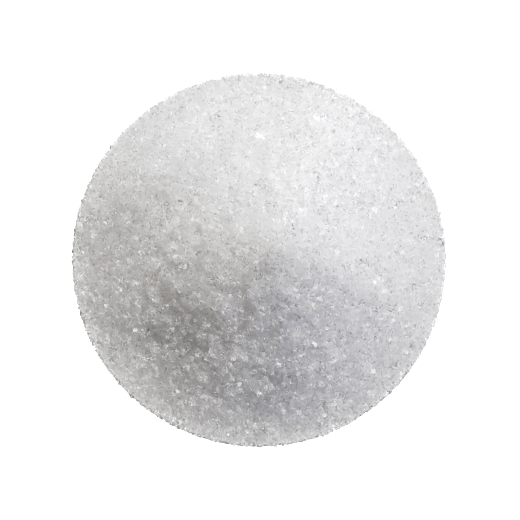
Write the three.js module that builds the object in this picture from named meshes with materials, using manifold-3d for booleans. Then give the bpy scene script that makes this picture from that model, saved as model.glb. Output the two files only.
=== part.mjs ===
// A small round heap of granulated xylitol, poured on a flat surface.
//
// The heap is one fused solid: a low mound with a few broad swells and hollows, which thins out to
// about one crystal at its round rim. Its skin is uneven at the size of the crystals, and the
// largest crystals lie half sunk in it.
//
// Units are millimetres, +Z is up. The origin is the middle of the flat underside, +Y points to
// the back of the heap and +X to its right.

import * as THREE from "three";
import { ConvexGeometry } from "three/addons/geometries/ConvexGeometry.js";
import { mergeVertices } from "three/addons/utils/BufferGeometryUtils.js";
import Module from "manifold-3d";

// ---- Driving dimensions -------------------------------------------------------------------------

const HEAP_RADIUS = 20; // rim of the heap
const HEAP_RISE = 6.8; // summit above the rim
const RIM_THICKNESS = 0.8; // depth of crystals at the rim
const SUMMIT = new THREE.Vector2(1.2, 0.8);
const CROWN_EXPONENT = 1.5; // 1 is a pointed cone, 2 a round dome
const FOOT_EXPONENT = 1.43; // over 1, the slope eases off before it meets the rim

const CRYSTAL_SIZE = 0.55; // usual crystal, side to side
const RING_COUNT = 34; // rings of bumps from the middle to the rim, about a crystal apart
const BUMP_HEIGHT = 0.2; // a crystal's stand above or below the smooth skin
const BUMP_DRIFT = 0.15; // a bump's shift along the skin
const RIM_WANDER = 0.15; // how far the rim runs in, here and there
const RIM_BATTER = 0.25; // how far the rim's top edge lies inside its foot

const LARGE_CRYSTALS = 70;
const LARGE_CRYSTAL_LENGTH = { shortest: 0.85, longest: 1.15 };
const CRYSTAL_WIDTH_SHARE = 0.74; // of its length
const CRYSTAL_DEPTH_SHARE = 0.6; // of its length
const CHISEL_SHARE = 0.34; // the part of half its length that the chisel end takes
const CHISEL_EDGE_SHARE = 0.86; // the chisel's edge, as a share of the width
const SHOWN_SHARE = 0.16; // how far a large crystal's middle stands above the skin, of its length
const CRYSTAL_TIP = 0.5; // how far it may tip out of the slope, in radians
const CLEAR_OF_RIM = 1.2; // large crystals keep this far inside the rim
const SPIRAL_WANDER = 0.5; // a large crystal's shift from its even place

// Broad swells and hollows in the mound. Each fades out as a bell curve: height, place of its
// middle, its two reaches, and the turn of the first reach from +X, in degrees.
const SWELLS = [
  { height: 1.4, x: -14.0, y: 8.0, along: 9.0, across: 2.4, turn: 37 }, // back left spur
  { height: 1.0, x: 8.0, y: 12.5, along: 3.0, across: 7.0, turn: -32 }, // back right spur
  { height: 0.4, x: 8.0, y: 0.0, along: 6.6, across: 2.4, turn: -40 }, // brow over the right slope
  { height: 0.25, x: -6.0, y: -7.0, along: 6.0, across: 2.1, turn: -83 }, // rib down the front left
  { height: -0.35, x: -7.5, y: -9.5, along: 7.0, across: 2.1, turn: 9 }, // front left hollow
  { height: -0.4, x: -4.0, y: -15.5, along: 8.5, across: 3.0, turn: -16 }, // front hollow
];

// ---- Random draws, the same on every run --------------------------------------------------------

const SEED = 4177;
THREE.MathUtils.seededRandom(SEED);

/** A draw between low and high. */
function between(low, high) {
  return THREE.MathUtils.lerp(low, high, THREE.MathUtils.seededRandom());
}

/** A draw between -reach and reach. */
function wander(reach) {
  return between(-reach, reach);
}

// ---- The heap's broad form ----------------------------------------------------------------------

/** Distance from the summit to the rim, in the direction of the unit vector towards. */
function reachOfSlope(towards) {
  const along = SUMMIT.dot(towards);
  return -along + Math.sqrt(along ** 2 + HEAP_RADIUS ** 2 - SUMMIT.lengthSq());
}

/** How far down the slope a point lies: 0 at the summit and 1 at the rim. */
function shareOfSlope(x, y) {
  const fromSummit = new THREE.Vector2(x, y).sub(SUMMIT);
  const distance = fromSummit.length();
  if (distance === 0) return 0;
  return Math.min(1, distance / reachOfSlope(fromSummit.divideScalar(distance)));
}

/** Height that one swell adds at a point. */
function swellHeight(swell, x, y) {
  const turn = THREE.MathUtils.degToRad(swell.turn);
  const from = new THREE.Vector2(x - swell.x, y - swell.y).rotateAround(new THREE.Vector2(), -turn);
  return swell.height * Math.exp(-((from.x / swell.along) ** 2 + (from.y / swell.across) ** 2) / 2);
}

/** Height of the heap's smooth skin over a point of the ground. */
function skinHeight(x, y) {
  const share = shareOfSlope(x, y);
  const mound = HEAP_RISE * (1 - share ** CROWN_EXPONENT) ** FOOT_EXPONENT;
  const swells = SWELLS.reduce((sum, swell) => sum + swellHeight(swell, x, y), 0);
  return RIM_THICKNESS + mound + swells * (1 - share ** 4);
}

/** Outward normal of the smooth skin, from its rise over a crystal's width each way. */
function skinNormal(x, y) {
  const riseX = skinHeight(x + CRYSTAL_SIZE / 2, y) - skinHeight(x - CRYSTAL_SIZE / 2, y);
  const riseY = skinHeight(x, y + CRYSTAL_SIZE / 2) - skinHeight(x, y - CRYSTAL_SIZE / 2);
  return new THREE.Vector3(-riseX, -riseY, CRYSTAL_SIZE).normalize();
}

// ---- The bumpy core -----------------------------------------------------------------------------

/** Number of points in a ring: one in the middle, then six more in each ring. */
function pointsInRing(ring) {
  return Math.max(1, 6 * ring);
}

/** Index of a point, counted round its ring, in the list of all points. */
function pointIndex(ring, place) {
  const before = ring === 0 ? 0 : 1 + 3 * ring * (ring - 1);
  return before + (place % pointsInRing(ring));
}

/** An indexed geometry of corner places and triangles. */
function geometryFrom(points, faces) {
  return new THREE.BufferGeometry()
    .setAttribute("position", new THREE.Float32BufferAttribute(points, 3))
    .setIndex(faces);
}

/** Triangles between a ring and the next, stepping along whichever ring lies behind. */
function bandFaces(ring) {
  const faces = [];
  const innerCount = pointsInRing(ring);
  const outerCount = pointsInRing(ring + 1);
  let inner = 0;
  for (let outer = 0; outer < outerCount; outer++) {
    if (ring > 0 && (inner + 0.5) / innerCount < (outer + 0.5) / outerCount) {
      faces.push(pointIndex(ring, inner), pointIndex(ring + 1, outer), pointIndex(ring, inner + 1));
      inner++;
    }
    faces.push(pointIndex(ring, inner), pointIndex(ring + 1, outer), pointIndex(ring + 1, outer + 1));
  }
  return faces;
}

/** A closed mesh of rings of bumps, each a crystal proud or sunk, a low wall and a flat underside. */
function bumpyCore() {
  const points = [];
  const faces = [];
  const spacing = (HEAP_RADIUS - RIM_BATTER) / RING_COUNT;
  for (let ring = 0; ring <= RING_COUNT; ring++) {
    const drift = ring === RING_COUNT ? 0 : BUMP_DRIFT;
    for (let place = 0; place < pointsInRing(ring); place++) {
      const angle = (place / pointsInRing(ring)) * 2 * Math.PI;
      const x = ring * spacing * Math.cos(angle) + wander(drift);
      const y = ring * spacing * Math.sin(angle) + wander(drift);
      points.push(x, y, skinHeight(x, y) + wander(BUMP_HEIGHT));
    }
  }
  for (let ring = 0; ring < RING_COUNT; ring++) faces.push(...bandFaces(ring));

  const rimCount = pointsInRing(RING_COUNT);
  const firstFoot = points.length / 3;
  for (let place = 0; place < rimCount; place++) {
    const angle = (place / rimCount) * 2 * Math.PI;
    const radius = HEAP_RADIUS - between(0, RIM_WANDER);
    points.push(radius * Math.cos(angle), radius * Math.sin(angle), 0);
  }
  const underside = points.length / 3;
  points.push(0, 0, 0);
  for (let place = 0; place < rimCount; place++) {
    const next = (place + 1) % rimCount;
    const [topHere, topNext] = [pointIndex(RING_COUNT, place), pointIndex(RING_COUNT, next)];
    faces.push(topHere, firstFoot + place, topNext);
    faces.push(topNext, firstFoot + place, firstFoot + next);
    faces.push(underside, firstFoot + next, firstFoot + place);
  }
  return geometryFrom(points, faces);
}

// ---- Large crystals -----------------------------------------------------------------------------

/** A crystal: a straight four-sided prism whose two ends are cut to a chisel edge. */
function crystalGeometry(length) {
  const halfLength = length / 2;
  const halfWidth = halfLength * CRYSTAL_WIDTH_SHARE;
  const halfDepth = halfLength * CRYSTAL_DEPTH_SHARE;
  const shoulder = halfLength * (1 - CHISEL_SHARE);
  const corners = [];
  for (const end of [-1, 1]) {
    for (const side of [-1, 1]) {
      corners.push(new THREE.Vector3(end * halfLength, side * halfWidth * CHISEL_EDGE_SHARE, 0));
      for (const face of [-1, 1]) {
        corners.push(new THREE.Vector3(end * shoulder, side * halfWidth, face * halfDepth));
      }
    }
  }
  return new ConvexGeometry(corners);
}

/** One large crystal, half sunk in the skin over a point of the ground, lying along the slope. */
function largeCrystalAt(x, y) {
  const length = between(LARGE_CRYSTAL_LENGTH.shortest, LARGE_CRYSTAL_LENGTH.longest);
  const slope = new THREE.Quaternion().setFromUnitVectors(new THREE.Vector3(0, 0, 1), skinNormal(x, y));
  const lie = new THREE.Euler(wander(CRYSTAL_TIP), wander(CRYSTAL_TIP), wander(Math.PI), "ZXY");
  const turn = slope.multiply(new THREE.Quaternion().setFromEuler(lie));
  const place = new THREE.Vector3(x, y, skinHeight(x, y) + length * SHOWN_SHARE);
  return crystalGeometry(length).applyQuaternion(turn).translate(place.x, place.y, place.z);
}

/** Large crystals spread evenly over the heap, on a sunflower's spiral. */
function largeCrystals() {
  const goldenAngle = Math.PI * (3 - Math.sqrt(5));
  return Array.from({ length: LARGE_CRYSTALS }, (_, index) => {
    const radius = (HEAP_RADIUS - CLEAR_OF_RIM) * Math.sqrt((index + 0.5) / LARGE_CRYSTALS);
    const x = radius * Math.cos(index * goldenAngle) + wander(SPIRAL_WANDER);
    const y = radius * Math.sin(index * goldenAngle) + wander(SPIRAL_WANDER);
    return largeCrystalAt(x, y);
  });
}

// ---- Fusing -------------------------------------------------------------------------------------

const MERGE_DISTANCE = 1e-4;
const wasm = await Module();
wasm.setup();

/** A closed geometry as a solid that can be joined. */
function solidOf(geometry) {
  geometry.deleteAttribute("normal");
  const merged = mergeVertices(geometry, MERGE_DISTANCE);
  return new wasm.Manifold(
    new wasm.Mesh({
      numProp: 3,
      vertProperties: new Float32Array(merged.attributes.position.array),
      triVerts: new Uint32Array(merged.index.array),
    }),
  );
}

/** A solid back as a flat-shaded geometry. */
function geometryOf(solid) {
  const mesh = solid.getMesh();
  const geometry = geometryFrom(Array.from(mesh.vertProperties), Array.from(mesh.triVerts));
  const flat = geometry.toNonIndexed();
  flat.computeVertexNormals();
  return flat;
}

/** The core with the large crystals fused on, and any hollow that they seal under them filled. */
function fusedHeap() {
  const core = solidOf(bumpyCore());
  const fused = largeCrystals().reduce((heap, crystal) => heap.add(solidOf(crystal)), core);
  const skins = fused.decompose();
  return skins.reduce((outer, skin) => (skin.volume() > outer.volume() ? skin : outer));
}

// ---- The part -----------------------------------------------------------------------------------

const crystalWhite = new THREE.MeshStandardMaterial({
  color: new THREE.Color(0.9, 0.905, 0.915),
  roughness: 0.35,
  metalness: 0,
});

const heap = new THREE.Mesh(geometryOf(fusedHeap()), crystalWhite);
heap.name = "crystal_heap";

const xylitolHeap = new THREE.Group();
xylitolHeap.add(heap);

export default xylitolHeap;
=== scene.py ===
"""A small round heap of granulated xylitol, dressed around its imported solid.

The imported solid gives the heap's place and size. Over a milky core of their own, thousands of separate
crystals are sown in layers, settled against one another as spheres, and then cut to their facets.

Sizes are in millimetres until a mesh is made. +Z is up, +Y points to the back and +X to the right.
"""

import logging
import math
from dataclasses import dataclass, field
from enum import Enum
from itertools import combinations

import bpy
import numpy as np
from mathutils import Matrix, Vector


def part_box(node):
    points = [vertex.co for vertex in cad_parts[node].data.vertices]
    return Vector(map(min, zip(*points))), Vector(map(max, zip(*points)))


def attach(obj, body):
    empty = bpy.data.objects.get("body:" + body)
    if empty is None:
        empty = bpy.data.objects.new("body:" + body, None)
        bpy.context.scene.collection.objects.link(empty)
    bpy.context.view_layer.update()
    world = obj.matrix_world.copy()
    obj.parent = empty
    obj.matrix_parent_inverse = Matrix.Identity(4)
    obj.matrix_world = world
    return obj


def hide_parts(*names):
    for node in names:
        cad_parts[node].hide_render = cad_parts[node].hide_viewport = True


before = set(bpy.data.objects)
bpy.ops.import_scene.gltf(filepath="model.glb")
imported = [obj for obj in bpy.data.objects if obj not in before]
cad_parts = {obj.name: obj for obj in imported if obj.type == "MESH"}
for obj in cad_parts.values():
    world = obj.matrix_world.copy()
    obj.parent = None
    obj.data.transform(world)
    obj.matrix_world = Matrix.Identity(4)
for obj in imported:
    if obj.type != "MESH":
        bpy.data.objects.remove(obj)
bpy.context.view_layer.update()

MM = 0.001
NODE = "crystal_heap"
BODY = "root"
SEED = 4177

log = logging.getLogger("xylitol")


# ---- The heap's broad form ----------------------------------------------------------------------


@dataclass(frozen=True)
class Swell:
    """A broad swell or hollow in the mound, which fades out as a bell curve.

    height is signed, x and y are its middle, along and across its two reaches, and turn the angle of
    the first reach from +X, in degrees.
    """

    height: float
    x: float
    y: float
    along: float
    across: float
    turn: float

    def rise(self, x: np.ndarray, y: np.ndarray) -> np.ndarray:
        """Gives the height added: a bell curve of the distances along and across, over their reaches.

        Args:
            x: Places to the right, in millimetres.
            y: Places to the back, in millimetres.

        Returns:
            The signed height at each place.
        """
        turn = math.radians(self.turn)
        along = (x - self.x) * math.cos(turn) + (y - self.y) * math.sin(turn)
        across = (y - self.y) * math.cos(turn) - (x - self.x) * math.sin(turn)
        return self.height * np.exp(-((along / self.along) ** 2 + (across / self.across) ** 2) / 2)


@dataclass(frozen=True)
class Ripples:
    """The soft unevenness of poured crystals: waves in drawn directions, faint beside the swells."""

    height: float = 0.02
    length: float = 2.6
    length_spread: float = 0.35
    count: int = 40
    seed: int = 31

    def rise(self, x: np.ndarray, y: np.ndarray) -> np.ndarray:
        """Gives the height added: a sum of sine waves, each as high as its length is long.

        Args:
            x: Places to the right, in millimetres.
            y: Places to the back, in millimetres.

        Returns:
            The signed height at each place, usually about the ripples' height.
        """
        rng = np.random.default_rng(self.seed)
        turn, start = rng.uniform(0, 2 * math.pi, (2, self.count))
        length = self.length * np.exp(rng.normal(scale=self.length_spread, size=self.count))
        along = np.multiply.outer(x, np.cos(turn)) + np.multiply.outer(y, np.sin(turn))
        waves = np.sin(2 * math.pi * along / length + start) * length / self.length
        return self.height * waves.sum(axis=-1) * math.sqrt(2 / self.count)


@dataclass(frozen=True)
class Mound:
    """The skin of the heap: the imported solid's form, with faint ripples."""

    radius: float
    ripples: Ripples = Ripples()
    rise: float = 6.8
    rim_thickness: float = 0.8
    summit_x: float = 1.2
    summit_y: float = 0.8
    crown_exponent: float = 1.5
    foot_exponent: float = 1.43
    swells: tuple[Swell, ...] = (
        Swell(1.4, -14.0, 8.0, 9.0, 2.4, 37),
        Swell(1.0, 8.0, 12.5, 3.0, 7.0, -32),
        Swell(0.4, 8.0, 0.0, 6.6, 2.4, -40),
        Swell(0.25, -6.0, -7.0, 6.0, 2.1, -83),
        Swell(-0.35, -7.5, -9.5, 7.0, 2.1, 9),
        Swell(-0.4, -4.0, -15.5, 8.5, 3.0, -16),
    )

    def share_of_slope(self, x: np.ndarray, y: np.ndarray) -> np.ndarray:
        """Tells how far down the slope each place lies: 0 at the summit and 1 at the rim.

        The distance from the summit is divided by the distance from the summit to the rim circle in
        the same direction, which solves the circle's quadratic.

        Args:
            x: Places to the right, in millimetres.
            y: Places to the back, in millimetres.

        Returns:
            The share at each place, at most 1.
        """
        away_x = x - self.summit_x
        away_y = y - self.summit_y
        distance = np.maximum(np.hypot(away_x, away_y), 1e-9)
        along = (self.summit_x * away_x + self.summit_y * away_y) / distance
        inside = self.radius**2 - self.summit_x**2 - self.summit_y**2
        reach = -along + np.sqrt(along**2 + inside)
        return np.minimum(1.0, distance / reach)

    def height(self, x: np.ndarray, y: np.ndarray) -> np.ndarray:
        """Gives the skin's height: rim thickness, the mound's two-exponent profile and the swells.

        Args:
            x: Places to the right, in millimetres.
            y: Places to the back, in millimetres.

        Returns:
            The height over the ground at each place, in millimetres.
        """
        share = self.share_of_slope(x, y)
        mound = self.rise * (1 - share**self.crown_exponent) ** self.foot_exponent
        swells = sum(swell.rise(x, y) for swell in self.swells) + self.ripples.rise(x, y)
        return self.rim_thickness + mound + swells * (1 - share**4)


# ---- Meshes -------------------------------------------------------------------------------------


def piece_from_arrays(
    name: str,
    points: np.ndarray,
    corners: np.ndarray,
    sides: np.ndarray,
    material: bpy.types.Material,
    tones: np.ndarray | None = None,
) -> bpy.types.Object:
    """Puts whole arrays into one mesh object with flat faces, at the origin.

    Args:
        name: The piece's name.
        points: Places in millimetres, one row each.
        corners: Point indices of all faces, one face after another.
        sides: How many corners each face has.
        material: The piece's finish.
        tones: A number from 0 to 1 for each point, kept as the attribute "tone".

    Returns:
        The new object, linked to the scene.
    """
    mesh = bpy.data.meshes.new(name)
    mesh.vertices.add(len(points))
    mesh.vertices.foreach_set("co", (points * MM).astype(np.float32).ravel())
    mesh.loops.add(len(corners))
    mesh.loops.foreach_set("vertex_index", corners.astype(np.int32))
    mesh.polygons.add(len(sides))
    starts = np.concatenate([[0], np.cumsum(sides)[:-1]])
    mesh.polygons.foreach_set("loop_start", starts.astype(np.int32))
    mesh.polygons.foreach_set("use_smooth", np.zeros(len(sides), bool))
    mesh.update(calc_edges=True)
    if tones is not None:
        attribute = mesh.attributes.new("tone", "FLOAT", "POINT")
        attribute.data.foreach_set("value", tones.astype(np.float32))
    mesh.materials.append(material)
    piece = bpy.data.objects.new(name, mesh)
    bpy.context.scene.collection.objects.link(piece)
    return piece


# ---- Finishes -----------------------------------------------------------------------------------


def new_material(name: str) -> tuple[bpy.types.Material, bpy.types.NodeTree, bpy.types.Node]:
    """Makes a material that holds one Principled shader.

    Args:
        name: The material's name.

    Returns:
        The material, its node tree and the shader node.
    """
    material = bpy.data.materials.new(name)
    material.use_nodes = True
    tree = material.node_tree
    return material, tree, tree.nodes["Principled BSDF"]


@dataclass(frozen=True)
class CrystalFinish:
    """The finish of one kind of crystal: clear to milky sugar alcohol with glossy facets.

    dark and light are the ends of the crystals' tones, and the two roughnesses the ends of their haze.
    The haze lies in patches haze_growth times as wide as the pits, and haze_range is the part of the
    noise that it runs over. pit_depth is in millimetres.
    """

    name: str
    dark: tuple[float, float, float]
    light: tuple[float, float, float]
    transmission: float
    roughness: tuple[float, float]
    bump: float
    pits_per_metre: float = 9000.0
    haze_growth: float = 3.0
    haze_range: tuple[float, float] = (0.35, 0.65)
    pit_depth: float = 0.02
    ior: float = 1.52

    def material(self) -> bpy.types.Material:
        """Builds the finish: a tone for each crystal, and haze and faint pits over its facets.

        Returns:
            The material.
        """
        material, tree, shader = new_material(self.name)
        nodes, links = tree.nodes, tree.links
        tone = nodes.new("ShaderNodeAttribute")
        tone.attribute_name = "tone"
        ramp = nodes.new("ShaderNodeMix")
        ramp.data_type = "RGBA"
        ramp.inputs[6].default_value = (*self.dark, 1)
        ramp.inputs[7].default_value = (*self.light, 1)
        links.new(tone.outputs["Fac"], ramp.inputs["Factor"])
        links.new(ramp.outputs[2], shader.inputs["Base Color"])
        place = nodes.new("ShaderNodeTexCoord")
        haze = nodes.new("ShaderNodeTexNoise")
        haze.inputs["Scale"].default_value = self.pits_per_metre / self.haze_growth
        links.new(place.outputs["Object"], haze.inputs["Vector"])
        spread = nodes.new("ShaderNodeMapRange")
        spread.inputs["From Min"].default_value = self.haze_range[0]
        spread.inputs["From Max"].default_value = self.haze_range[1]
        spread.inputs["To Min"].default_value = self.roughness[0]
        spread.inputs["To Max"].default_value = self.roughness[1]
        links.new(haze.outputs["Fac"], spread.inputs["Value"])
        links.new(spread.outputs["Result"], shader.inputs["Roughness"])
        pits = nodes.new("ShaderNodeTexNoise")
        pits.inputs["Scale"].default_value = self.pits_per_metre
        links.new(place.outputs["Object"], pits.inputs["Vector"])
        bump = nodes.new("ShaderNodeBump")
        bump.inputs["Strength"].default_value = self.bump
        bump.inputs["Distance"].default_value = self.pit_depth * MM
        links.new(pits.outputs["Fac"], bump.inputs["Height"])
        links.new(bump.outputs["Normal"], shader.inputs["Normal"])
        shader.inputs["IOR"].default_value = self.ior
        shader.inputs["Transmission Weight"].default_value = self.transmission
        return material


@dataclass(frozen=True)
class FloorFinish:
    """Plain matt white that glows, so that the ground under the heap stays even."""

    name: str
    glow: float
    colour: tuple[float, float, float] = (0.9, 0.9, 0.9)
    roughness: float = 0.8

    def material(self) -> bpy.types.Material:
        """Builds the finish.

        Returns:
            The material.
        """
        material, _, shader = new_material(self.name)
        shader.inputs["Base Color"].default_value = (*self.colour, 1)
        shader.inputs["Roughness"].default_value = self.roughness
        shader.inputs["Emission Color"].default_value = (1, 1, 1, 1)
        shader.inputs["Emission Strength"].default_value = self.glow
        return material


CLEAR = CrystalFinish("clear", (0.98, 0.98, 0.98), (0.99, 0.99, 0.99), 0.98, (0.0, 0.02), 0.25)
FROSTED = CrystalFinish("frosted", (0.94, 0.94, 0.94), (0.98, 0.98, 0.98), 0.86, (0.04, 0.22), 0.28)
MILKY = CrystalFinish("milky", (0.93, 0.93, 0.93), (0.97, 0.97, 0.97), 0.75, (0.15, 0.35), 0.3)
WHITE = CrystalFinish("white", (0.9, 0.9, 0.9), (0.93, 0.93, 0.93), 0.0, (0.4, 0.6), 0.3)


# ---- Crystal shapes -----------------------------------------------------------------------------


# The least volume that three facets' normals span if they meet in a corner, how far outside a facet
# a corner may lie, how close to a facet its own corners lie, and the decimals that tell corners apart.
LEAST_SPAN = 1e-6
OUTSIDE = 1e-7
ON_FACET = 1e-5
CORNER_DECIMALS = 6

# How far a facet leans from its habit's, and the shares of its habit's distance that it may lie at.
FACET_LEAN = 0.05
FACET_REACH = (0.88, 1.12)


class Habit(Enum):
    """The shapes that the crystals grow in."""

    PRISM = "prism"
    BLOCK = "block"
    WEDGE = "wedge"
    GRAIN = "grain"


@dataclass(frozen=True)
class FacetSolid:
    """A convex solid: corner places, and for each facet its corners in order, seen from outside."""

    points: np.ndarray
    corners: np.ndarray
    sides: np.ndarray


def solid_from_facets(normals: np.ndarray, distances: np.ndarray) -> FacetSolid:
    """Works out the convex solid that a set of facets encloses, as large as a sphere one unit across.

    A corner lies where three facets meet, if it is inside all the others. Each facet's corners are
    then put in order of their angle round its normal.

    Args:
        normals: Outward unit normals, one row each.
        distances: Each facet's distance from the middle.

    Returns:
        The solid, scaled to that sphere's volume.
    """
    trios = np.array(list(combinations(range(len(normals)), 3)))
    planes = normals[trios]
    crossing = np.abs(np.linalg.det(planes)) > LEAST_SPAN
    trios, planes = trios[crossing], planes[crossing]
    meets = np.linalg.solve(planes, distances[trios][..., None])[..., 0]
    inside = (meets @ normals.T <= distances + OUTSIDE).all(axis=1)
    points = np.unique(np.round(meets[inside], CORNER_DECIMALS), axis=0)
    faces = []
    for normal, distance in zip(normals, distances):
        on = np.flatnonzero(np.abs(points @ normal - distance) < ON_FACET)
        if len(on) < 3:
            continue
        middle = points[on].mean(axis=0)
        across = np.cross(normal, [1.0, 0.0, 0.0] if abs(normal[0]) < 0.7 else [0.0, 1.0, 0.0])
        up = np.cross(normal, across)
        angle = np.arctan2((points[on] - middle) @ up, (points[on] - middle) @ across)
        faces.append(on[np.argsort(angle)])
    fans = [(points[f[0]], np.cross(points[f[1:-1]], points[f[2:]])) for f in faces]
    volume = sum((cross @ apex).sum() for apex, cross in fans) / 6
    scale = (math.pi / 6 / volume) ** (1 / 3)
    return FacetSolid(points * scale, np.concatenate(faces), np.array([len(f) for f in faces]))


def unit_rows(rows: np.ndarray) -> np.ndarray:
    """Scales each row to a length of one."""
    return rows / np.linalg.norm(rows, axis=-1, keepdims=True)


def habit_facets(habit: Habit, rng: np.random.Generator) -> tuple[np.ndarray, np.ndarray]:
    """Draws the facets of one crystal of a habit, each a little nearer or farther than the next.

    The angles, directions and distances below are the habits' proportions, for half a crystal's width
    of about one.

    Args:
        habit: The shape it grows in.
        rng: The seeded source of draws.

    Returns:
        The facets' unit normals and their distances from the middle.
    """
    if habit is Habit.PRISM:
        turns = np.radians([0, 62, 118, 180, 242, 298])
        sides = np.stack([np.cos(turns), np.sin(turns), np.zeros(6)], axis=1)
        ends = np.array([[0.75, 0.1, 1], [-0.75, 0.1, 1], [0.75, 0.1, -1], [-0.75, 0.1, -1]])
        normals = np.concatenate([sides, unit_rows(ends)])
        distances = np.concatenate([[0.8, 0.9, 0.9, 0.8, 0.9, 0.9], np.full(4, 1.05)])
    elif habit is Habit.BLOCK:
        faces = np.concatenate([np.eye(3), -np.eye(3)])
        cuts = unit_rows(rng.choice([-1.0, 1.0], (5, 3)) * rng.uniform(0.5, 1, (5, 3)))
        normals = np.concatenate([faces, cuts])
        distances = np.concatenate([[1, 0.85, 0.72, 1, 0.85, 0.72], np.full(5, 1.05)])
    elif habit is Habit.WEDGE:
        base_and_roof = [[0, 0, -1], [0, 0.85, 0.6], [0, -0.85, 0.6]]
        ends = [[1, 0, 0.25], [-1, 0.2, 0.1], [0.6, -0.7, 0.5]]
        faces = unit_rows(np.array(base_and_roof + ends))
        normals = np.concatenate([faces, unit_rows(rng.normal(size=(3, 3)))])
        distances = np.concatenate([[0.6, 0.75, 0.75, 0.95, 0.95, 1.0], np.full(3, 1.05)])
    else:
        count = 13
        index = np.arange(count) + 0.5
        lift = 1 - 2 * index / count
        turns = index * math.pi * (3 - math.sqrt(5))
        ring = np.sqrt(1 - lift**2)
        normals = np.stack([ring * np.cos(turns), ring * np.sin(turns), lift], axis=1)
        distances = np.array([1.0, 0.9, 0.95])[np.arange(count) % 3]
    normals = unit_rows(normals + rng.normal(scale=FACET_LEAN, size=normals.shape))
    return normals, distances * rng.uniform(*FACET_REACH, len(distances))


def random_turns(count: int, rng: np.random.Generator) -> np.ndarray:
    """Draws even random rotations, each from a random point on the sphere in four dimensions.

    Args:
        count: How many.
        rng: The seeded source of draws.

    Returns:
        A stack of 3 by 3 rotation matrices.
    """
    w, x, y, z = unit_rows(rng.normal(size=(count, 4))).T
    rows = [
        [1 - 2 * (y * y + z * z), 2 * (x * y - z * w), 2 * (x * z + y * w)],
        [2 * (x * y + z * w), 1 - 2 * (x * x + z * z), 2 * (y * z - x * w)],
        [2 * (x * z - y * w), 2 * (y * z + x * w), 1 - 2 * (x * x + y * y)],
    ]
    return np.moveaxis(np.array(rows), -1, 0)


# ---- The bed of crystals ------------------------------------------------------------------------


def near_pairs(points: np.ndarray, reach: float) -> tuple[np.ndarray, np.ndarray]:
    """Lists every pair of points that lie closer than reach.

    The points are sorted into cubic cells one reach wide, with empty cells all round, and each cell is
    matched with itself and with the 13 neighbours on one side of it.

    Args:
        points: Places, one row each.
        reach: The largest distance of a pair.

    Returns:
        The first and the second index of each pair.
    """
    cells = np.floor((points - points.min(axis=0)) / reach).astype(np.int64) + 1
    spans = cells.max(axis=0) + 2
    strides = np.array([spans[1] * spans[2], spans[2], 1])
    keys = cells @ strides
    order = np.argsort(keys, kind="stable")
    ordered = keys[order]
    shifts = [s for s in np.ndindex(3, 3, 3) if s >= (1, 1, 1)]
    firsts, seconds = [], []
    for shift in shifts:
        wanted = keys + (np.array(shift) - 1) @ strides
        start = np.searchsorted(ordered, wanted, "left")
        count = np.searchsorted(ordered, wanted, "right") - start
        first = np.repeat(np.arange(len(points)), count)
        step = np.arange(len(first)) - np.repeat(np.cumsum(count) - count, count)
        second = order[np.repeat(start, count) + step]
        near = ((points[first] - points[second]) ** 2).sum(axis=1) < reach**2
        if shift == (1, 1, 1):
            near &= first < second
        firsts.append(first[near])
        seconds.append(second[near])
    return np.concatenate(firsts), np.concatenate(seconds)


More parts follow.
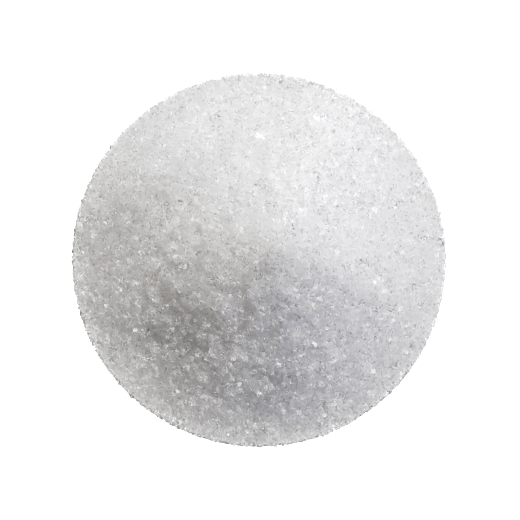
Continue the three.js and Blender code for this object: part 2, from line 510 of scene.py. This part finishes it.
@dataclass
class CrystalBed:
    """Layers of loose crystals that cover the mound, settled against one another.

    Each crystal is a sphere here, with a centre and a radius. The last rim_count of them are the row
    round the rim, whose spacing and smallest size are shares of a usual crystal, and whose sway is a
    share of the spacing. roughness is how far a crystal may stand over or under the smooth skin, and
    packing the bed's share that the spheres fill.
    """

    mound: Mound
    usual_size: float = 0.52
    size_spread: float = 0.2
    smallest: float = 0.34
    largest: float = 0.85
    coarse_share: float = 0.01
    coarse_growth: float = 1.4
    coarsest: float = 0.95
    depth: float = 0.6
    packing: float = 1.0
    rim_spacing: float = 0.42
    rim_smallest: float = 0.75
    rim_sway: float = 0.2
    roughness: float = 0.16
    most_drawn: int = 60000
    depth_steps: int = 60
    sweeps: int = 48
    sweeps_per_listing: int = 6
    push_share: float = 0.45
    centres: np.ndarray = field(init=False)
    radii: np.ndarray = field(init=False)
    rim_count: int = field(init=False)

    def sow(self, rng: np.random.Generator) -> None:
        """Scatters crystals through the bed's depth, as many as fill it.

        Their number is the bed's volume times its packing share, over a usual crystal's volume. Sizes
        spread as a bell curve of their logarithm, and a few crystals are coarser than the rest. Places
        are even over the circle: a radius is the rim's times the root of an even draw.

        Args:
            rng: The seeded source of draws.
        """
        sizes = np.exp(rng.normal(math.log(self.usual_size), self.size_spread, self.most_drawn))
        sizes = sizes[(sizes > self.smallest) & (sizes < self.largest)]
        coarse = rng.uniform(0, 1, len(sizes)) < self.coarse_share
        sizes = np.minimum(sizes * np.where(coarse, self.coarse_growth, 1.0), self.coarsest)
        share = np.arange(self.depth_steps) / self.depth_steps
        rings = self.mound.radius * np.sqrt(share + 0.5 / self.depth_steps)
        depth = np.minimum(self.depth, self.mound.height(rings, 0 * rings)).mean()
        volume = math.pi * self.mound.radius**2 * depth * self.packing
        count = int(np.searchsorted(np.cumsum(math.pi / 6 * sizes**3), volume))
        self.radii = sizes[:count] / 2
        radius = (self.mound.radius - self.radii) * np.sqrt(rng.uniform(0, 1, count))
        angle = rng.uniform(0, 2 * math.pi, count)
        x, y = radius * np.cos(angle), radius * np.sin(angle)
        skin = self.mound.height(x, y)
        low = np.maximum(self.radii, skin - self.depth)
        self.centres = np.stack([x, y, low + (skin - low) * rng.uniform(0, 1, count)], axis=1)
        self.sow_rim(rng)

    def sow_rim(self, rng: np.random.Generator) -> None:
        """Adds a close row of crystals round the rim, so that the heap's outline is whole.

        Args:
            rng: The seeded source of draws.
        """
        count = round(2 * math.pi * self.mound.radius / (self.usual_size * self.rim_spacing))
        self.rim_count = count
        radii = self.usual_size / 2 * rng.uniform(self.rim_smallest, 1.0, count)
        sway = rng.uniform(-self.rim_sway, self.rim_sway, count)
        angle = (np.arange(count) + sway) * 2 * math.pi / count
        reach = self.mound.radius - radii
        high = radii + rng.uniform(0, 1, count) * (self.mound.rim_thickness - 2 * radii)
        row = np.stack([reach * np.cos(angle), reach * np.sin(angle), high], axis=1)
        self.centres = np.concatenate([self.centres, row])
        self.radii = np.concatenate([self.radii, radii])

    def settle(self, rng: np.random.Generator) -> None:
        """Pushes overlapping crystals apart, again and again, inside the bed's own bounds.

        Two crystals that overlap each move nearly half the overlap along the line between them. None
        rises over the skin, sinks under the bed, leaves the rim or goes through the ground.

        Args:
            rng: The seeded source of draws.
        """
        count = len(self.radii)
        proud = rng.uniform(-self.roughness, self.roughness, count)
        for sweep in range(self.sweeps):
            if sweep % self.sweeps_per_listing == 0:
                first, second = near_pairs(self.centres, 2 * self.radii.max())
            apart = self.centres[second] - self.centres[first]
            distance = np.maximum(np.linalg.norm(apart, axis=1), 1e-6)
            overlap = np.maximum(self.radii[first] + self.radii[second] - distance, 0)
            push = apart * (self.push_share * overlap / distance)[:, None]
            for axis in range(3):
                self.centres[:, axis] += np.bincount(second, push[:, axis], count)
                self.centres[:, axis] -= np.bincount(first, push[:, axis], count)
            self.keep_in_bounds(proud)

    def keep_in_bounds(self, proud: np.ndarray) -> None:
        """Moves crystals back inside the rim, under the skin, over the bed's floor and the ground.

        Args:
            proud: How far over the smooth skin each crystal may stand.
        """
        x, y = self.centres[:, 0], self.centres[:, 1]
        reach = np.maximum(np.hypot(x, y), 1e-9)
        pull = np.minimum(1.0, (self.mound.radius - self.radii) / reach)
        x *= pull
        y *= pull
        skin = self.mound.height(x, y)
        highest = skin + proud - self.radii
        lowest = np.maximum(self.radii, np.minimum(skin - self.depth, highest))
        self.centres[:, 2] = np.clip(self.centres[:, 2], lowest, np.maximum(highest, lowest))


# ---- Pieces -------------------------------------------------------------------------------------


@dataclass
class CrystalKind:
    """One kind of crystal, cut to its facets and joined into one piece.

    share is the kind's part of all the crystals, shapes the number of solids that are cut, stretch the
    spread of their growth along their axes, and fill a crystal's width over its sphere's in the bed.
    """

    name: str
    habits: tuple[Habit, ...]
    finish: CrystalFinish
    share: float
    shapes: int = 14
    stretch: float = 0.16
    fill: float = 1.08

    def build(self, bed: CrystalBed, chosen: np.ndarray, rng: np.random.Generator) -> bpy.types.Object:
        """Cuts the chosen crystals of the bed.

        Each takes one of a few shapes, is stretched a little along its own axes, turned at random,
        and moved to its place.

        Args:
            bed: The settled bed.
            chosen: Indices of the crystals of this kind.
            rng: The seeded source of draws.

        Returns:
            The joined piece.
        """
        points, corners, sides, tones = [], [], [], []
        offset = 0
        which = rng.integers(0, self.shapes, len(chosen))
        for shape in range(self.shapes):
            mine = chosen[which == shape]
            solid = solid_from_facets(*habit_facets(self.habits[shape % len(self.habits)], rng))
            count, size = len(mine), len(solid.points)
            grow = np.exp(rng.normal(scale=self.stretch, size=(count, 1, 3)))
            grow /= grow.prod(axis=2, keepdims=True) ** (1 / 3)
            local = solid.points[None] * grow * (2 * bed.radii[mine] * self.fill)[:, None, None]
            placed = np.einsum("nij,nkj->nki", random_turns(count, rng), local)
            placed += bed.centres[mine][:, None]
            under = np.minimum(placed[..., 2].min(axis=1), 0)
            placed[..., 2] -= under[:, None]
            points.append(placed.reshape(-1, 3))
            corners.append((solid.corners[None] + offset + size * np.arange(count)[:, None]).ravel())
            sides.append(np.tile(solid.sides, count))
            tones.append(np.repeat(rng.uniform(0, 1, count), size))
            offset += count * size
        return piece_from_arrays(
            self.name,
            np.concatenate(points),
            np.concatenate(corners),
            np.concatenate(sides),
            self.finish.material(),
            np.concatenate(tones),
        )


def dealt_crystals(
    bed: CrystalBed, kinds: list[CrystalKind], rng: np.random.Generator
) -> list[np.ndarray]:
    """Deals the bed's crystals out to the kinds by their shares.

    The row round the rim gets no clear ones, whose dark edges would draw a line round the heap: its
    draws are squeezed into what the clear kinds leave.

    Args:
        bed: The settled bed.
        kinds: The kinds, the clear ones first.
        rng: The seeded source of draws.

    Returns:
        For each kind, the indices of its crystals.
    """
    draw = rng.uniform(0, 1, len(bed.radii))
    clear = sum(kind.share for kind in kinds if kind.finish is CLEAR)
    at_rim = np.arange(len(draw)) >= len(draw) - bed.rim_count
    draw = np.where(at_rim, clear + (1 - clear) * draw, draw)
    edges = np.cumsum([0.0] + [kind.share for kind in kinds])
    return [np.flatnonzero((draw >= low) & (draw < high)) for low, high in zip(edges[:-1], edges[1:])]


@dataclass
class Core:
    """The milky inside of the heap, with relief of the crystals' own size.

    It lies sink under the skin and inset within the rim. Before the relief is added, no place on it is
    lower than lowest.
    """

    mound: Mound
    finish: CrystalFinish
    sink: float = 0.3
    inset: float = 0.25
    lowest: float = 0.35
    rings: int = 110
    ring_exponent: float = 0.9
    spokes: int = 420
    bump: float = 0.035
    bump_width: float = 0.55
    bump_places: tuple[float, float] = (0.1, 0.9)
    bump_lean: float = 0.6
    bump_fall: float = 1.3
    bump_floor: float = -0.5

    def relief(self, x: np.ndarray, y: np.ndarray, rng: np.random.Generator) -> np.ndarray:
        """Gives facets of a crystal's size: over each place, the highest of the tilted planes near it.

        Every cell of a square lattice has one crystal, moved within its cell, whose top is a tilted
        plane that falls off as the distance from its middle grows. Deep gaps are cut off at the floor.

        Args:
            x: Places to the right, in millimetres.
            y: Places to the back, in millimetres.
            rng: The seeded source of draws.

        Returns:
            The height of the relief at each place, up to about bump.
        """
        width = self.bump_width
        span = int(2 * self.mound.radius / width) + 6
        middle = rng.uniform(*self.bump_places, (span, span, 2))
        lean = rng.uniform(-self.bump_lean, self.bump_lean, (span, span, 2))
        cell_x = np.floor(x / width).astype(int) + span // 2
        cell_y = np.floor(y / width).astype(int) + span // 2
        best = np.full(x.shape, -np.inf)
        for step_x, step_y in np.ndindex(3, 3):
            i, j = cell_x + step_x - 1, cell_y + step_y - 1
            away_x = x / width - (i - span // 2 + middle[i, j, 0])
            away_y = y / width - (j - span // 2 + middle[i, j, 1])
            top = 1 - self.bump_fall * np.hypot(away_x, away_y) + lean[i, j, 0] * away_x
            best = np.maximum(best, top + lean[i, j, 1] * away_y)
        return self.bump * np.clip(best, self.bump_floor, 1)

    def build(self, rng: np.random.Generator) -> bpy.types.Object:
        """Builds the core as a surface of two parameters, ring and spoke, closed underneath.

        Args:
            rng: The seeded source of draws.

        Returns:
            The piece.
        """
        reach = self.mound.radius - self.inset
        share = (np.arange(1, self.rings + 1) / self.rings) ** self.ring_exponent
        angle = np.arange(self.spokes) / self.spokes * 2 * math.pi
        x = np.append(0, (reach * share[:, None] * np.cos(angle)).ravel())
        y = np.append(0, (reach * share[:, None] * np.sin(angle)).ravel())
        z = np.maximum(self.mound.height(x, y) - self.sink, self.lowest) + self.relief(x, y, rng)
        top = np.stack([x, y, z], axis=1)
        under = np.append(top[-self.spokes :] * [1, 1, 0], [[0, 0, 0]], axis=0)
        here = np.arange(self.spokes)
        ahead = (here + 1) % self.spokes
        last = len(top)
        middle_fan = np.stack([0 * here, 1 + here, 1 + ahead], axis=1)
        inner = 1 + self.spokes * np.arange(self.rings - 1)[:, None]
        outer = inner + self.spokes
        quads = np.stack([inner + here, outer + here, outer + ahead, inner + ahead], axis=2)
        rim = last - self.spokes
        wall = np.stack([rim + here, last + here, last + ahead, rim + ahead], axis=1)
        floor_fan = np.stack([last + ahead, last + here, 0 * here + last + self.spokes], axis=1)
        fours = np.concatenate([quads.reshape(-1, 4), wall])
        threes = np.concatenate([middle_fan, floor_fan])
        corners = np.concatenate([fours.ravel(), threes.ravel()])
        sides = np.concatenate([np.full(len(fours), 4), np.full(len(threes), 3)])
        points = np.concatenate([top, under])
        tones = rng.uniform(0, 1, len(points))
        return piece_from_arrays("milky_core", points, corners, sides, self.finish.material(), tones)


# ---- The studio ---------------------------------------------------------------------------------


def direction(azimuth: float, elevation: float) -> np.ndarray:
    """Gives the unit vector at an azimuth from +X and an elevation, both in degrees."""
    turn, lift = math.radians(azimuth), math.radians(elevation)
    return np.array([math.cos(lift) * math.cos(turn), math.cos(lift) * math.sin(turn), math.sin(lift)])


@dataclass(frozen=True)
class Window:
    """A bright round opening in the room, for the crystals to mirror and bend.

    azimuth, elevation, the radius out to the edge and the width of the soft edge are in degrees.
    """

    azimuth: float
    elevation: float
    glow: float
    edge: float
    soft: float


@dataclass(frozen=True)
class SmallWindows:
    """Small windows all round the room, which give the crystals their fine glints.

    lowest and step, the elevation of the lowest tier and of each tier over the next, are in degrees,
    as are a window's edge and soft edge.
    """

    count: int = 15
    tiers: int = 3
    lowest: float = 34.0
    step: float = 12.0
    glow: float = 14.0
    edge: float = 3.9
    soft: float = 1.2

    def windows(self) -> tuple[Window, ...]:
        """Sets each window a golden angle on from the last, and in the tier after the last one's.

        Returns:
            The windows.
        """
        golden_angle = 180 * (3 - math.sqrt(5))
        places = [(golden_angle * i, self.lowest + self.step * (i % self.tiers)) for i in range(self.count)]
        return tuple(Window(*place, self.glow, self.edge, self.soft) for place in places)


@dataclass(frozen=True)
class SoftLamp:
    """A round soft lamp that lights matt surfaces but isn't mirrored.

    strength is the brightness that it gives a white card facing it.
    """

    name: str
    azimuth: float
    elevation: float
    strength: float
    colour: tuple[float, float, float]
    size: float = 240.0
    distance: float = 450.0

    def hang(self) -> None:
        """Hangs the lamp.

        Its power is the strength times the squared distance and pi squared, as a small disc lamp
        spreads it.
        """
        azimuth, elevation = math.radians(self.azimuth), math.radians(self.elevation)
        lamp = bpy.data.lights.new(self.name, "AREA")
        lamp.shape = "DISK"
        lamp.size = self.size * MM
        lamp.color = self.colour
        lamp.energy = self.strength * (self.distance * MM) ** 2 * math.pi**2
        holder = bpy.data.objects.new(self.name, lamp)
        holder.location = direction(self.azimuth, self.elevation) * self.distance * MM
        holder.rotation_euler = (math.pi / 2 - elevation, 0, azimuth + math.pi / 2)
        holder.visible_glossy = False
        holder.visible_transmission = False
        bpy.context.scene.collection.objects.link(holder)


@dataclass(frozen=True)
class FloorSheet:
    """A wide glowing disc under the heap, for the camera or for the crystals to mirror."""

    name: str
    glow: float
    drop: float
    seen: bool
    reach: float = 3000.0
    corners: int = 96

    def lay(self) -> None:
        """Lays the sheet. Matt surfaces never see it, so it gives no light of its own."""
        around = np.arange(self.corners)
        angle = around / self.corners * 2 * math.pi
        points = self.reach * np.stack([np.cos(angle), np.sin(angle), 0 * angle], axis=1)
        points[:, 2] = -self.drop
        white = FloorFinish(self.name + "_white", self.glow).material()
        sheet = piece_from_arrays(self.name, points, around, np.array([self.corners]), white)
        sheet.visible_camera = self.seen
        sheet.visible_diffuse = False
        sheet.visible_glossy = not self.seen
        sheet.visible_transmission = not self.seen
        sheet.visible_shadow = False


@dataclass(frozen=True)
class ToneCurve:
    """The camera's tone curve, as pairs of the brightness that comes in and the brightness shown."""

    steps: tuple[tuple[float, float], ...] = ((0.25, 0.225), (0.6, 0.632), (0.85, 0.812))
    full: tuple[float, float] = (1.0, 0.91)

    def bend(self, view: bpy.types.ColorManagedViewSettings) -> None:
        """Darkens the deep tones a little and rolls off the bright ones.

        Past full brightness the curve runs straight on, so that the ground stays white.

        Args:
            view: The scene's view settings.
        """
        view.view_transform = "Standard"
        view.use_curve_mapping = True
        view.curve_mapping.extend = "EXTRAPOLATED"
        curve = view.curve_mapping.curves[3]
        curve.points[-1].location = self.full
        for bright, shown in self.steps:
            curve.points.new(bright, shown)
        view.curve_mapping.update()


@dataclass
class Studio:
    """Floor, light and camera."""

    heap_across: float
    photo_width: float = 520.0
    photo_heap_across: float = 373.4
    photo_heap_middle: tuple[float, float] = (259.0, 260.0)
    camera_distance: float = 220.0
    camera_range: tuple[float, float] = (0.001, 20.0)
    sensor_width: float = 36.0
    lamps: tuple[SoftLamp, ...] = (
        SoftLamp("key", 61.0, 36.2, 0.935, (0.99, 0.985, 1.0)),
        SoftLamp("cool_fill", -12.0, 25.0, 0.12, (0.52, 0.56, 1.0)),
        SoftLamp("warm_fill", 210.0, 20.0, 0.05, (1.0, 0.76, 0.15)),
    )
    windows: tuple[Window, ...] = (
        Window(62.0, 30.0, 0.55, 80.0, 60.0),
        Window(62.0, 39.0, 12.0, 5.5, 1.5),
        *SmallWindows().windows(),
    )
    room_glow: float = 0.1
    room_colour: tuple[float, float, float] = (0.99, 0.99, 1.0)
    sheets: tuple[FloorSheet, ...] = (
        FloorSheet("floor", 4.0, 0.01, seen=True),
        FloorSheet("floor_sheen", 1.5, 0.03, seen=False),
    )
    tones: ToneCurve = ToneCurve()
    bounces: int = 24
    matt_bounces: int = 12

    def build(self) -> None:
        """Sets up the floor, the lamps, the room, the camera and how light is followed."""
        for sheet in self.sheets:
            sheet.lay()
        for lamp in self.lamps:
            lamp.hang()
        self.light_room()
        self.place_camera()
        self.follow_light()
        self.tones.bend(bpy.context.scene.view_settings)

    def light_room(self) -> None:
        """Gives the crystals a dim room with bright windows to mirror and bend.

        Near each window's middle its glow is added to the room's, and fades over its soft edge. The
        room lights no matt surface, straight or through a crystal, since the lamps do that: it counts
        only for paths that have met none.
        """
        world = bpy.data.worlds.new("studio")
        world.use_nodes = True
        nodes, links = world.node_tree.nodes, world.node_tree.links
        sight = nodes.new("ShaderNodeTexCoord")
        background = nodes["Background"]
        background.inputs["Color"].default_value = (*self.room_colour, 1)
        glow = None
        for window in self.windows:
            nearness = nodes.new("ShaderNodeVectorMath")
            nearness.operation = "DOT_PRODUCT"
            nearness.inputs[1].default_value = direction(window.azimuth, window.elevation)
            links.new(sight.outputs["Generated"], nearness.inputs[0])
            shine = nodes.new("ShaderNodeMapRange")
            shine.interpolation_type = "SMOOTHSTEP"
            shine.inputs["From Min"].default_value = math.cos(math.radians(window.edge))
            shine.inputs["From Max"].default_value = math.cos(math.radians(window.edge - window.soft))
            shine.inputs["To Min"].default_value = 0
            shine.inputs["To Max"].default_value = window.glow
            links.new(nearness.outputs["Value"], shine.inputs["Value"])
            total = nodes.new("ShaderNodeMath")
            total.inputs[0].default_value = self.room_glow
            links.new(shine.outputs["Result"], total.inputs[1])
            if glow is not None:
                links.new(glow, total.inputs[0])
            glow = total.outputs[0]
        path = nodes.new("ShaderNodeLightPath")
        unscattered = nodes.new("ShaderNodeMath")
        unscattered.operation = "LESS_THAN"
        unscattered.inputs[1].default_value = 0.5
        links.new(path.outputs["Diffuse Depth"], unscattered.inputs[0])
        seen = nodes.new("ShaderNodeMath")
        seen.operation = "MULTIPLY"
        links.new(glow, seen.inputs[0])
        links.new(unscattered.outputs[0], seen.inputs[1])
        links.new(seen.outputs[0], background.inputs["Strength"])
        world.cycles_visibility.diffuse = False
        bpy.context.scene.world = world

    def place_camera(self) -> None:
        """Looks straight down, with the heap as wide in the frame as in the photograph."""
        scale = self.heap_across / self.photo_heap_across
        camera = bpy.data.cameras.new("camera")
        camera.sensor_width = self.sensor_width
        camera.lens = self.sensor_width * self.camera_distance / (self.photo_width * scale)
        camera.clip_start, camera.clip_end = self.camera_range
        holder = bpy.data.objects.new("camera", camera)
        shift_x = (self.photo_width / 2 - self.photo_heap_middle[0]) * scale
        shift_y = (self.photo_heap_middle[1] - self.photo_width / 2) * scale
        holder.location = (shift_x * MM, shift_y * MM, self.camera_distance * MM)
        bpy.context.scene.collection.objects.link(holder)
        bpy.context.scene.camera = holder

    def follow_light(self) -> None:
        """Lets light bounce often enough to cross many crystals."""
        cycles = bpy.context.scene.cycles
        cycles.max_bounces = self.bounces
        cycles.transmission_bounces = self.bounces
        cycles.diffuse_bounces = self.matt_bounces
        cycles.glossy_bounces = self.matt_bounces


# ---- Main ---------------------------------------------------------------------------------------


def main() -> None:
    """Builds the core, the crystals and the studio, and reports each piece.

    Only the core casts a shadow, as light comes through the crystals.
    """
    logging.basicConfig(level=logging.INFO, format="%(message)s")
    low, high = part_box(NODE)
    radius = (high.x - low.x) / 2 / MM
    mound = Mound(radius=radius)
    rng = np.random.default_rng(SEED)
    bed = CrystalBed(mound)
    bed.sow(rng)
    bed.settle(rng)
    kinds = [
        CrystalKind("clear_prisms", (Habit.PRISM, Habit.BLOCK), CLEAR, 0.3),
        CrystalKind("clear_shards", (Habit.WEDGE, Habit.BLOCK), CLEAR, 0.25),
        CrystalKind("frosted_blocks", (Habit.BLOCK, Habit.GRAIN), FROSTED, 0.3),
        CrystalKind("milky_grains", (Habit.GRAIN,), MILKY, 0.15),
    ]
    dealt = dealt_crystals(bed, kinds, rng)
    core = Core(mound, WHITE).build(rng)
    pieces = [core]
    for kind, chosen in zip(kinds, dealt):
        pieces.append(kind.build(bed, chosen, rng))
        log.info("%s: %d crystals", kind.name, len(chosen))
    for piece in pieces:
        piece.visible_shadow = piece is core
        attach(piece, BODY)
        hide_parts(NODE)
        triangles = sum(len(p.vertices) - 2 for p in piece.data.polygons)
        log.info("%s: %d triangles", piece.name, triangles)
    Studio(heap_across=2 * radius).build()


if __name__ == "__main__":
    main()
